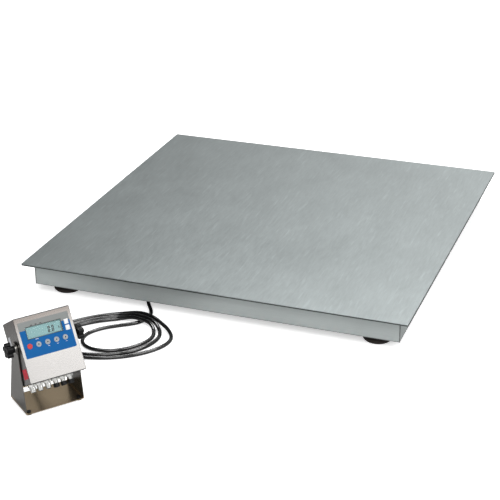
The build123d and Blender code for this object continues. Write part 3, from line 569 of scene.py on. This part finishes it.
# weld beads down the frame's four outer corners
welds = {"radius": 0.0016, "top": 0.0975, "beads": 22, "tip": 0.0002, "swell": 0.2, "shrink": 0.75,
         "sides": 10}
weldPiece = Piece("cornerWelds")
pitch = (welds["top"] - platform["frameBottom"]) / welds["beads"]
bead = [(welds["tip"], 0), (welds["radius"], pitch * welds["swell"]),
        (welds["radius"], pitch * welds["shrink"]), (welds["tip"], pitch)]
for sx in (-1, 1):
    for sy in (-1, 1):
        corner = Vector((sx * platform["frameHalf"], platform["y"] + sy * platform["frameHalf"], 0))
        for n in range(welds["beads"]):
            foot = corner + up * (platform["frameBottom"] + n * pitch)
            weldPiece.turned(framed(foot, leftToRight, up), bead, welds["sides"])
weldPiece.done(extra["weld"], root)


def ribbedRing(name, place, ribs, look, body):
    # equal ribs round a circle: Geometry Nodes, then a plain mesh
    group = bpy.data.node_groups.new(name + "Nodes", "GeometryNodeTree")
    group.interface.new_socket("Geometry", in_out="INPUT", socket_type="NodeSocketGeometry")
    sockets = {}
    for label, kind in (("Count", "NodeSocketInt"), ("Radius", "NodeSocketFloat"),
                        ("Size", "NodeSocketVector"), ("Tilt", "NodeSocketFloat"),
                        ("Material", "NodeSocketMaterial")):
        sockets[label] = group.interface.new_socket(label, in_out="INPUT", socket_type=kind).identifier
    group.interface.new_socket("Geometry", in_out="OUTPUT", socket_type="NodeSocketGeometry")
    new, join = group.nodes.new, group.links.new
    given, circle, cube = new("NodeGroupInput"), new("GeometryNodeMeshCircle"), new("GeometryNodeMeshCube")
    spread, index = new("GeometryNodeInstanceOnPoints"), new("GeometryNodeInputIndex")
    share, turn = new("ShaderNodeMath"), new("ShaderNodeCombineXYZ")
    solid, paint = new("GeometryNodeRealizeInstances"), new("GeometryNodeSetMaterial")
    result = new("NodeGroupOutput")
    step = new("ShaderNodeMath")
    step.operation = "DIVIDE"
    step.inputs[0].default_value = 2 * math.pi
    share.operation = "MULTIPLY"
    join(given.outputs["Count"], circle.inputs["Vertices"])
    join(given.outputs["Radius"], circle.inputs["Radius"])
    join(given.outputs["Count"], step.inputs[1])
    join(index.outputs[0], share.inputs[0])
    join(step.outputs[0], share.inputs[1])
    join(given.outputs["Tilt"], turn.inputs["Y"])
    join(share.outputs[0], turn.inputs["Z"])
    join(given.outputs["Size"], cube.inputs["Size"])
    join(circle.outputs[0], spread.inputs["Points"])
    join(cube.outputs[0], spread.inputs["Instance"])
    join(turn.outputs[0], spread.inputs["Rotation"])
    join(spread.outputs[0], solid.inputs[0])
    join(solid.outputs[0], paint.inputs["Geometry"])
    join(given.outputs["Material"], paint.inputs["Material"])
    join(paint.outputs[0], result.inputs[0])
    holder = bpy.data.objects.new(name + "Holder", bpy.data.meshes.new(name + "Holder"))
    scene.collection.objects.link(holder)
    modifier = holder.modifiers.new("ribs", "NODES")
    modifier.node_group = group
    for label, value in (("Count", ribs["count"]), ("Radius", ribs["radius"]), ("Size", ribs["rib"]),
                         ("Tilt", ribs.get("tilt", 0.0)), ("Material", look.material)):
        modifier[sockets[label]] = value
    bpy.context.view_layer.update()
    mesh = bpy.data.meshes.new_from_object(holder.evaluated_get(bpy.context.evaluated_depsgraph_get()))
    bpy.data.objects.remove(holder)
    mesh.transform(place)
    made = bpy.data.objects.new(name, mesh)
    scene.collection.objects.link(made)
    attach(made, body)
    return made


# foot pads: radial ribs on the shoulder
pads = {"x": 0.492, "y": 0.512, "shoulder": 0.0152}
padRibs = {"count": 24, "radius": 0.0275, "rib": (0.015, 0.0016, 0.0012), "tilt": math.radians(8.5)}
corners = {"front_left": (-1, -1), "front_right": (1, -1), "rear_left": (-1, 1), "rear_right": (1, 1)}
for corner, (sx, sy) in corners.items():
    centre = Vector((sx * pads["x"], platform["y"] + sy * pads["y"], pads["shoulder"]))
    ribbedRing(f"footRibs_{corner}", framed(centre, leftToRight, up), padRibs, looks["foot_rubber"],
               f"pad_{corner}")

# potting resin in the load cells' pockets
potting = {"x": 0.4545, "z": 0.064, "aside": 0.006, "radius": 0.0118, "depth": 0.007, "dome": 0.0006,
           "sides": 32}
resinProfile = [(needle, 0), (potting["radius"], 0), (potting["radius"], potting["depth"]),
                (needle, potting["depth"] + potting["dome"])]
for corner, (sx, sy) in corners.items():
    resin = Piece(f"cellPotting_{corner}")
    for side in (-1, 1):
        y = platform["y"] + sy * pads["y"] + side * potting["aside"]
        pocket = framed((sx * potting["x"], y, potting["z"]), leftToRight, frontToBack * side)
        resin.turned(pocket, resinProfile, potting["sides"])
    resin.done(extra["potting"], root)

# a screw's cross slot: two thin dark strips on its head, painted shade standing for the slot's recess
crossSlotShade = {"long": 0.0042, "wide": 0.0008, "lower": 0.00005, "upperShade": 0.00006}


def addCrossShade(piece, head):
    piece.block(head, (crossSlotShade["long"], crossSlotShade["wide"], crossSlotShade["lower"]))
    piece.block(head, (crossSlotShade["wide"], crossSlotShade["long"], crossSlotShade["upperShade"]))


# junction box: moulded rim on the lid, and painted shade for the cross slots in its screws
box = {"x": -0.201, "y": -0.078, "lid": 0.0415, "screw": 0.0393, "gapX": 0.048, "gapY": 0.033}
lidRim = {"x": 0.0393, "y": 0.025, "long": 0.080, "short": 0.0486, "wide": 0.0014, "high": 0.0008}
rim = Piece("boxLidRim")
lidFace = framed((box["x"], box["y"], box["lid"]), leftToRight, -up)
for n in (-1, 1):
    longSide = lidFace @ Matrix.Translation((0, n * lidRim["y"], 0))
    shortSide = lidFace @ Matrix.Translation((n * lidRim["x"], 0, 0))
    rim.block(longSide, (lidRim["long"], lidRim["wide"], lidRim["high"]))
    rim.block(shortSide, (lidRim["wide"], lidRim["short"], lidRim["high"]))
rim.done(looks["box_plastic"], root)
slotShades = Piece("boxScrewSlotShade")
for sx in (-1, 1):
    for sy in (-1, 1):
        centre = (box["x"] + sx * box["gapX"], box["y"] + sy * box["gapY"], box["screw"])
        addCrossShade(slotShades, framed(centre, (1, 1, 0), -up))
slotShades.done(extra["dark"], root)


def sleeve(name, line, size, body=None):
    # tapered rubber sleeve on a cable's own line, from where it leaves its gland
    spots, gone = [(line[0], 0.0)], 0.0
    for first, second in zip(line, line[1:]):
        gone += (second - first).length
        if gone < size["length"]:
            spots.append((second, gone))
    rings = []
    for n, (spot, distance) in enumerate(spots):
        heading = spots[min(n + 1, len(spots) - 1)][0] - spots[max(n - 1, 0)][0]
        radius = size["outer"] + (size["tip"] - size["outer"]) * distance / size["length"]
        rings.append((framed(spot, heading.orthogonal(), heading), radius))
    rubber = Piece(name)
    rubber.loft([(rings[0][0], size["inner"])] + rings + [(rings[-1][0], size["inner"])])
    return rubber.done(extra["dark"], body)


cableSeal = {"inner": 0.0054, "outer": 0.0078, "tip": 0.0063, "length": 0.024}
sleeve("outletSeal", cableLine, cableSeal, root)
rearSeal = sleeve("rearSeal", cableLine[::-1], cableSeal)
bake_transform(rearSeal)
leadSeal = {"inner": 0.0024, "outer": 0.0052, "tip": 0.0036, "length": 0.008, "steps": 5, "count": 4,
            "first": -0.237, "pitch": 0.024, "y": -0.021, "z": 0.060}
for n in range(leadSeal["count"]):
    mouth = Vector((leadSeal["first"] + n * leadSeal["pitch"], leadSeal["y"], leadSeal["z"]))
    line = [mouth + frontToBack * (step * leadSeal["length"] / leadSeal["steps"])
            for step in range(leadSeal["steps"])]
    sleeve(f"leadSeal_{n + 1}", line, leadSeal, root)

# knurled nuts on the long cable's two glands
nutKnurl = {"count": 20, "radius": 0.0093, "rib": (0.0014, 0.0012, 0.008), "back": 0.011}
outletNut = framed(outletMouth + frontToBack * nutKnurl["back"], leftToRight, -frontToBack)
rearNut = framed(rearGland - panelOut * nutKnurl["back"], across, -panelOut)
ribbedRing("outletKnurl", outletNut, nutKnurl, looks["gland_metal"], root)
ribbedRing("rearKnurl", rearNut, nutKnurl, looks["gland_metal"], "housing")


def addFlats(piece, flats, size):
    # thin rectangles on the housing's front: right, rise, width and height in millimetres
    for right, rise, width, tall in flats:
        piece.block(onPanel(right, rise, size["out"]), (width * mm, tall * mm, size["thick"] * mm))


# display: seven-segment figures and small state marks, flat on the liquid crystal
figure = {"width": 6.2, "height": 16.5, "bar": 2.5, "gap": 1.3, "lean": 0.10, "out": -1.55, "thick": 0.03,
          "rise": 38.6, "rights": (9.2, 20.0)}
# a zero's bars: where each lies sideways and upwards, and whether it stands
zeroBars = [(0, 1, False), (1, 0.5, True), (1, -0.5, True), (0, -1, False), (-1, -0.5, True), (-1, 0.5, True)]
stateMarks = [(14.4, 31.3, 1.7, 1.7), (36.2, 38.0, 1.6, 5.4), (38.6, 36.1, 1.8, 1.6), (38.6, 39.9, 1.8, 1.6)]
digits = Piece("displayFigures")
for right in figure["rights"]:
    for sx, sy, standing in zeroBars:
        x = sx * (figure["width"] - figure["bar"]) / 2
        y = sy * (figure["height"] - figure["bar"]) / 2
        length = (figure["height"] / 2 if standing else figure["width"]) - figure["bar"] * figure["gap"]
        half, tip, flat = figure["bar"] / 2, (length + figure["bar"]) / 2, length / 2
        outline = [(-tip, 0), (-flat, -half), (flat, -half), (tip, 0), (flat, half), (-flat, half)]
        if standing:
            outline = [(-v, u) for u, v in outline]
        outline = [((u + x + (v + y) * figure["lean"]) * mm, (v + y) * mm) for u, v in outline]
        digits.prism(onPanel(right, figure["rise"], figure["out"]), outline, figure["thick"] * mm)
addFlats(digits, stateMarks, figure)
digits.done(extra["segment"], "housing")

# film: blank white fields, marks above the window, and painted shade as dark lines round the window's edges
film = {"out": 0.8, "thick": 0.06}
whiteFields = [(58.5, 46.5, 11.5, 13), (58.5, 30.5, 11.5, 13), (-29, 22.2, 8, 1.0), (-3.0, -2.6, 5, 0.9),
               (21.3, -2.6, 5, 0.9), (46.0, -2.6, 5, 0.9)]
fields = Piece("overlayFields")
addFlats(fields, whiteFields, film)
fields.done(extra["white"], "housing")
marksAndShade = Piece("overlayMarksAndWindowShade")
addFlats(marksAndShade, [(right, 59.6, 5.0, 2.2) for right in (-34, -22, -9)], film)
# painted shade: dark lines along the window's four edges
for n in (-1, 1):
    lineRise = window["rise"] + n * (window["height"] - window["line"]) / 2
    lineRight = window["right"] + n * window["width"] / 2
    addFlats(marksAndShade, [(window["right"], lineRise, window["width"], window["line"]),
                     (lineRight, window["rise"], window["line"], window["height"])], film)
marksAndShade.done(extra["dark"], "housing")

# keys: a printed ring and centre on each cap, a small ring alone on the red one
key = {"count": 5, "first": -52.6, "pitch": 24.5, "rise": 8, "top": 1.3, "dot": 0.0021,
       "ring": (0.0046, 0.0051), "redRing": (0.0030, 0.0034), "ink": 0.00006}


def addRing(piece, place, inner, outer, sides=40):
    piece.turned(place, [(inner, 0), (outer, 0), (outer, key["ink"]), (inner, key["ink"])], sides)


for n in range(key["count"]):
    face = onPanel(key["first"] + n * key["pitch"], key["rise"], key["top"])
    ring = Piece(f"keyPrint_{n + 1}")
    if n:
        addRing(ring, face, needle, key["dot"], 28)
        addRing(ring, face, *key["ring"])
    else:
        addRing(ring, face, *key["redRing"])
    ring.done(extra["dark"], f"key_{n + 1}")

# knobs: a cap in the middle of each face
knob = {"face": 0.1065, "cap": 0.0062, "bevel": 0.001, "wall": 0.0003, "high": 0.0008, "sides": 32}
capProfile = [(needle, 0), (knob["cap"], 0), (knob["cap"], knob["wall"]),
              (knob["cap"] - knob["bevel"], knob["high"]), (needle, knob["high"])]
for side, sign in (("left", -1), ("right", 1)):
    cap = Piece(f"knobCap_{side}")
    face = framed(pivot + across * sign * knob["face"], backwards, across * sign)
    cap.turned(face, capProfile, knob["sides"])
    cap.done(looks["knob_plastic"], f"knob_{side}")

# rear cover: painted shade for the cross slots in its screws
cover = {"right": 0.0715, "rise": 0.080, "back": 0.0955}
crossShades = Piece("coverScrewSlotShade")
for sx in (-1, 1):
    for sy in (-1, 0, 1):
        aside = across * sx * cover["right"] + panelRise * sy * cover["rise"]
        head = framed(panelCentre + aside - panelOut * cover["back"], across + panelRise, -panelOut)
        addCrossShade(crossShades, head)
crossShades.done(extra["dark"], "housing")

# sockets under the housing: ribs round each cap, knurls round each gland and a plug in its mouth
sockets = {-62: "gland", -42: "gland", -20: "gland", 2: "cap", 22: "cap", 42: "cap"}
socketsBack = 0.044
capKnurl = {"count": 18, "radius": 0.0080, "rib": (0.0006, 0.0012, 0.008), "down": 0.0175}
glandKnurl = {"count": 18, "radius": 0.0078, "rib": (0.0010, 0.0010, 0.007), "down": 0.0105}
plug = {"radius": 0.0052, "face": 0.0042, "inside": 0.001, "wall": 0.0006, "high": 0.0014, "down": 0.020,
        "sides": 32}
plugProfile = [(needle, -plug["inside"]), (plug["radius"], -plug["inside"]), (plug["radius"], plug["wall"]),
               (plug["face"], plug["high"]), (needle, plug["high"])]
for n, (right, kind) in enumerate(sockets.items()):
    mouth = panelCentre - panelRise * housing["halfHeight"] + across * right * mm - panelOut * socketsBack
    if kind == "cap":
        place = framed(mouth - panelRise * capKnurl["down"], across, -panelRise)
        ribbedRing(f"capKnurl_{n + 1}", place, capKnurl, looks["cap_dark"], "housing")
    else:
        place = framed(mouth - panelRise * glandKnurl["down"], across, -panelRise)
        ribbedRing(f"glandKnurl_{n + 1}", place, glandKnurl, looks["socket_metal"], "housing")
        place = framed(mouth - panelRise * plug["down"], across, -panelRise)
        stopper = Piece(f"glandPlug_{n + 1}")
        stopper.turned(place, plugProfile, plug["sides"])
        stopper.done(extra["dark"], "housing")
print("stage: added pieces")

# the floor: pale paper that keeps the shadow, whiter far away and greyer in reflections
paper = {"half": 14.0, "tone": 0.94, "fibre": 0.01, "inReflections": 0.45, "lift": 0.55, "farLift": 1.08,
         "near": 2.0, "far": 4.5}


def grey(level):
    return (level, level, level)


half = paper["half"]
floorMesh = bpy.data.meshes.new("floor")
floorCorners = [(-half, -half, 0), (half, -half, 0), (half, half, 0), (-half, half, 0)]
floorMesh.from_pydata(floorCorners, [], [(0, 1, 2, 3)])
floor = bpy.data.objects.new("floor", floorMesh)
scene.collection.objects.link(floor)
floorLook = Look("floorPaper", Roughness=0.9, Emission_Strength=1.0)
fibres = floorLook.noise(floorLook.position(), 30.0, 4.0)
sheet = floorLook.mix(fibres, grey(paper["tone"] - paper["fibre"]), grey(paper["tone"] + paper["fibre"]))
byCamera = floorLook.node("ShaderNodeLightPath")
byMetal = Value(floorLook, byCamera.socket.node.outputs["Is Glossy Ray"])
floorLook.colour(floorLook.mix(byMetal, sheet, grey(paper["inReflections"])))
distance = floorLook.vector("LENGTH", floorLook.position(), result=1)
lifted = floorLook.mix(floorLook.remap(distance, paper["near"], paper["far"], 0.0, 1.0), grey(paper["lift"]),
                       grey(paper["farLift"]))
floorLook.put(floorLook.shader.inputs["Emission Color"], floorLook.mix(byCamera, grey(0.0), lifted))
floor.data.materials.append(floorLook.material)

# the room that the steel reflects: dark at the left, light at the right, dimmer far right and overhead;
# the camera sees plain white
studio = {"darkest": 0.08, "brightest": 1.15, "middle": 0.55, "slope": 2.5, "behind": 0.32, "rightFrom": 0.10,
          "rightTo": 0.50, "farRight": 0.5, "overheadFrom": 0.62, "overheadTo": 0.80, "ceiling": 0.25,
          "white": 1.2}
world = bpy.data.worlds.new("studio")
scene.world = world
world.use_nodes = True
room = Graph(world.node_tree)
heading = room.node("ShaderNodeTexCoord")
rightwards = room.along(heading, leftToRight)
slope = (rightwards + studio["behind"]) * studio["slope"] + studio["middle"]
sides = room.node("ShaderNodeClamp", None, slope, studio["darkest"], studio["brightest"])
farRight = room.remap(rightwards, studio["rightFrom"], studio["rightTo"], 1.0, studio["farRight"])
overhead = room.remap(room.along(heading, up), studio["overheadFrom"], studio["overheadTo"], 1.0,
                      studio["ceiling"])
surround = room.node("ShaderNodeBackground", None, (1, 1, 1, 1), sides * farRight * overhead)
plain = room.node("ShaderNodeBackground", None, (1, 1, 1, 1), studio["white"])
seen = room.node("ShaderNodeLightPath")
room.put(world.node_tree.nodes["World Output"].inputs["Surface"],
         room.node("ShaderNodeMixShader", None, seen, surround, plain))

# soft lamps: where each stands, what it faces, its width and height, its watts
lamps = {
    "keyLight": ((2.95, -1.1, 2.75), (0, -0.2, 0), (2.2, 2.2), 62),
    "fillLight": ((0.9, -3.9, 4.2), (0, -0.3, 0), (3.2, 2.4), 126),
    "topLight": ((-0.5, 1.3, 3.3), (-0.2, -0.4, 0), (2.6, 0.5), 80),
}
for name, (place, target, size, power) in lamps.items():
    light = bpy.data.lights.new(name, "AREA")
    light.shape = "RECTANGLE"
    light.size, light.size_y = size
    light.energy = power
    lamp = bpy.data.objects.new(name, light)
    scene.collection.objects.link(lamp)
    away = Vector(place) - Vector(target)
    lamp.matrix_world = framed(place, up.cross(away), away)
scene.view_settings.view_transform = "Standard"
print("stage: studio")
